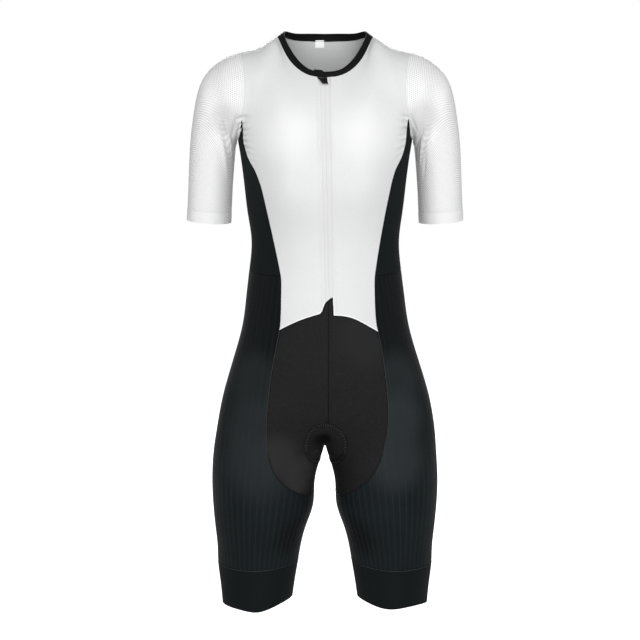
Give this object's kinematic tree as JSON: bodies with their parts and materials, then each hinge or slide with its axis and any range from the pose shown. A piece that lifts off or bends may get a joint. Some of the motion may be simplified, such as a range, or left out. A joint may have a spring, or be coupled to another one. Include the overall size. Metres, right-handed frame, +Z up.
{
  "type": "triathlon suit",
  "caption": "One-piece short-sleeved triathlon suit with a long front zip, white upper body and mesh sleeves, black side panels, shorts legs and hem grippers.",
  "frame": {"origin": "Centre of the neck opening at shoulder level, where the suit hangs on its wearer.", "axes": "+Z up, -Y the front of the suit, +X the wearer's left"},
  "size_m": [0.426, 0.2144, 0.9022],
  "materials": {
    "white_cloth": "matt smooth knit",
    "white_mesh": "matt knit with a fine diagonal lattice",
    "ribbed_black_cloth": "satin knit with fine vertical ribs",
    "black_cloth": "matt smooth knit",
    "zip_tape": "matt woven tape",
    "black_metal": "satin black",
    "label": "smooth woven label, bare"
  },
  "bodies": {
    "suit": {"back": "white_cloth", "crotch_gusset": "black_cloth", "front_left": "white_cloth", "front_right": "white_cloth", "gripper_left": "black_cloth", "gripper_right": "black_cloth", "leg_left": "ribbed_black_cloth", "leg_right": "ribbed_black_cloth", "lower_front_left": "black_cloth", "lower_front_right": "black_cloth", "neck_binding": "black_cloth", "seat": "black_cloth", "side_left": "black_cloth", "side_right": "black_cloth", "size_label": "label", "sleeve_left": "white_mesh", "sleeve_right": "white_mesh", "zip_garage": "black_cloth", "zip_slider": "black_metal", "zip_tape_left": "zip_tape", "zip_tape_right": "zip_tape"},
    "pull": {"zip_pull": "black_metal"}
  },
  "joints": [
    {"name": "pull_swing", "type": "hinge", "parent": "suit", "child": "pull", "pos_m": [-0.0016, -0.06683, -0.06315], "axis": [-1, 0, 0], "range_deg": [0, 170]}
  ]
}
